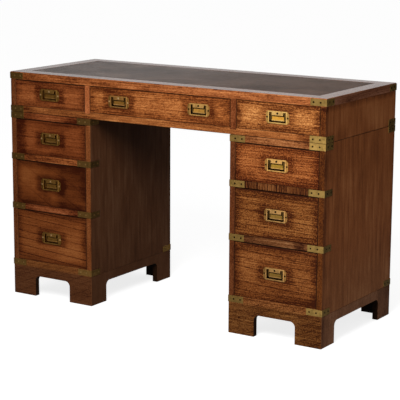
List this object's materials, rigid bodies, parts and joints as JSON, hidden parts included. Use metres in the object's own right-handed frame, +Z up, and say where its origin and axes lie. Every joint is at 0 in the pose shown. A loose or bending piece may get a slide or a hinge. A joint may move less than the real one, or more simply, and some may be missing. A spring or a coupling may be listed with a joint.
{
  "type": "pedestal desk",
  "caption": "Kneehole pedestal desk in campaign style with a leather-lined top, sliding drawers, recessed brass bail handles, corner straps and bracket feet.",
  "frame": {"origin": "on the floor under the middle of the desk", "axes": "+X to the right along the length as seen from the drawer side, +Y towards the back, +Z up"},
  "size_m": [1.22, 0.4816, 0.7793],
  "materials": {
    "case_wood": "polished, dark reddish brown",
    "front_wood": "polished, warm reddish brown",
    "drawer_wood": "plain planed, pale",
    "leather": "smooth, dark",
    "brass": "aged, satin"
  },
  "bodies": {
    "desk": {"top_board": "case_wood", "leather_inset": "leather", "frieze_left_end": "case_wood", "frieze_right_end": "case_wood", "frieze_back": "case_wood", "frieze_bottom_board": "case_wood", "frieze_left_divider": "case_wood", "frieze_right_divider": "case_wood", "left_pedestal_outer_side": "case_wood", "left_pedestal_inner_side": "case_wood", "left_pedestal_back": "case_wood", "left_pedestal_top_board": "case_wood", "left_pedestal_upper_dust_board": "case_wood", "left_pedestal_lower_dust_board": "case_wood", "left_pedestal_plinth": "case_wood", "right_pedestal_outer_side": "case_wood", "right_pedestal_inner_side": "case_wood", "right_pedestal_back": "case_wood", "right_pedestal_top_board": "case_wood", "right_pedestal_upper_dust_board": "case_wood", "right_pedestal_lower_dust_board": "case_wood", "right_pedestal_plinth": "case_wood"},
    "left_lower_handle_bail": {"left_lower_handle_bail": "brass"},
    "left_lower_drawer": {"left_lower_drawer_front": "front_wood", "left_lower_drawer_box": "drawer_wood", "left_lower_handle_plate": "brass"},
    "left_middle_handle_bail": {"left_middle_handle_bail": "brass"},
    "left_middle_drawer": {"left_middle_drawer_front": "front_wood", "left_middle_drawer_box": "drawer_wood", "left_middle_handle_plate": "brass"},
    "left_upper_handle_bail": {"left_upper_handle_bail": "brass"},
    "left_upper_drawer": {"left_upper_drawer_front": "front_wood", "left_upper_drawer_box": "drawer_wood", "left_upper_handle_plate": "brass"},
    "right_lower_handle_bail": {"right_lower_handle_bail": "brass"},
    "right_lower_drawer": {"right_lower_drawer_front": "front_wood", "right_lower_drawer_box": "drawer_wood", "right_lower_handle_plate": "brass"},
    "right_middle_handle_bail": {"right_middle_handle_bail": "brass"},
    "right_middle_drawer": {"right_middle_drawer_front": "front_wood", "right_middle_drawer_box": "drawer_wood", "right_middle_handle_plate": "brass"},
    "right_upper_handle_bail": {"right_upper_handle_bail": "brass"},
    "right_upper_drawer": {"right_upper_drawer_front": "front_wood", "right_upper_drawer_box": "drawer_wood", "right_upper_handle_plate": "brass"},
    "frieze_left_handle_bail": {"frieze_left_handle_bail": "brass"},
    "frieze_left_drawer": {"frieze_left_drawer_front": "front_wood", "frieze_left_drawer_box": "drawer_wood", "frieze_left_handle_plate": "brass"},
    "frieze_centre_left_handle_bail": {"frieze_centre_left_handle_bail": "brass"},
    "frieze_centre_right_handle_bail": {"frieze_centre_right_handle_bail": "brass"},
    "frieze_centre_drawer": {"frieze_centre_drawer_front": "front_wood", "frieze_centre_drawer_box": "drawer_wood", "frieze_centre_left_handle_plate": "brass", "frieze_centre_right_handle_plate": "brass"},
    "frieze_right_handle_bail": {"frieze_right_handle_bail": "brass"},
    "frieze_right_drawer": {"frieze_right_drawer_front": "front_wood", "frieze_right_drawer_box": "drawer_wood", "frieze_right_handle_plate": "brass"}
  },
  "joints": [
    {"name": "left_lower_drawer_slide", "type": "slide", "parent": "desk", "child": "left_lower_drawer", "axis": [0, -1, 0], "range_m": [0, 0.33]},
    {"name": "left_lower_handle_swing", "type": "hinge", "parent": "left_lower_drawer", "child": "left_lower_handle_bail", "pos_m": [-0.441, -0.2352, 0.22705], "axis": [-1, 0, 0], "range_deg": [0, 90]},
    {"name": "left_middle_drawer_slide", "type": "slide", "parent": "desk", "child": "left_middle_drawer", "axis": [0, -1, 0], "range_m": [0, 0.33]},
    {"name": "left_middle_handle_swing", "type": "hinge", "parent": "left_middle_drawer", "child": "left_middle_handle_bail", "pos_m": [-0.441, -0.2352, 0.41405], "axis": [-1, 0, 0], "range_deg": [0, 90]},
    {"name": "left_upper_drawer_slide", "type": "slide", "parent": "desk", "child": "left_upper_drawer", "axis": [0, -1, 0], "range_m": [0, 0.33]},
    {"name": "left_upper_handle_swing", "type": "hinge", "parent": "left_upper_drawer", "child": "left_upper_handle_bail", "pos_m": [-0.441, -0.2352, 0.57205], "axis": [-1, 0, 0], "range_deg": [0, 90]},
    {"name": "right_lower_drawer_slide", "type": "slide", "parent": "desk", "child": "right_lower_drawer", "axis": [0, -1, 0], "range_m": [0, 0.33]},
    {"name": "right_lower_handle_swing", "type": "hinge", "parent": "right_lower_drawer", "child": "right_lower_handle_bail", "pos_m": [0.441, -0.2352, 0.22705], "axis": [-1, 0, 0], "range_deg": [0, 90]},
    {"name": "right_middle_drawer_slide", "type": "slide", "parent": "desk", "child": "right_middle_drawer", "axis": [0, -1, 0], "range_m": [0, 0.33]},
    {"name": "right_middle_handle_swing", "type": "hinge", "parent": "right_middle_drawer", "child": "right_middle_handle_bail", "pos_m": [0.441, -0.2352, 0.41405], "axis": [-1, 0, 0], "range_deg": [0, 90]},
    {"name": "right_upper_drawer_slide", "type": "slide", "parent": "desk", "child": "right_upper_drawer", "axis": [0, -1, 0], "range_m": [0, 0.33]},
    {"name": "right_upper_handle_swing", "type": "hinge", "parent": "right_upper_drawer", "child": "right_upper_handle_bail", "pos_m": [0.441, -0.2352, 0.57205], "axis": [-1, 0, 0], "range_deg": [0, 90]},
    {"name": "frieze_left_drawer_slide", "type": "slide", "parent": "desk", "child": "frieze_left_drawer", "axis": [0, -1, 0], "range_m": [0, 0.33]},
    {"name": "frieze_left_handle_swing", "type": "hinge", "parent": "frieze_left_drawer", "child": "frieze_left_handle_bail", "pos_m": [-0.442, -0.2352, 0.72135], "axis": [-1, 0, 0], "range_deg": [0, 90]},
    {"name": "frieze_centre_drawer_slide", "type": "slide", "parent": "desk", "child": "frieze_centre_drawer", "axis": [0, -1, 0], "range_m": [0, 0.33]},
    {"name": "frieze_centre_left_handle_swing", "type": "hinge", "parent": "frieze_centre_drawer", "child": "frieze_centre_left_handle_bail", "pos_m": [-0.155, -0.2352, 0.72135], "axis": [-1, 0, 0], "range_deg": [0, 90]},
    {"name": "frieze_centre_right_handle_swing", "type": "hinge", "parent": "frieze_centre_drawer", "child": "frieze_centre_right_handle_bail", "pos_m": [0.155, -0.2352, 0.72135], "axis": [-1, 0, 0], "range_deg": [0, 90]},
    {"name": "frieze_right_drawer_slide", "type": "slide", "parent": "desk", "child": "frieze_right_drawer", "axis": [0, -1, 0], "range_m": [0, 0.33]},
    {"name": "frieze_right_handle_swing", "type": "hinge", "parent": "frieze_right_drawer", "child": "frieze_right_handle_bail", "pos_m": [0.442, -0.2352, 0.72135], "axis": [-1, 0, 0], "range_deg": [0, 90]}
  ]
}
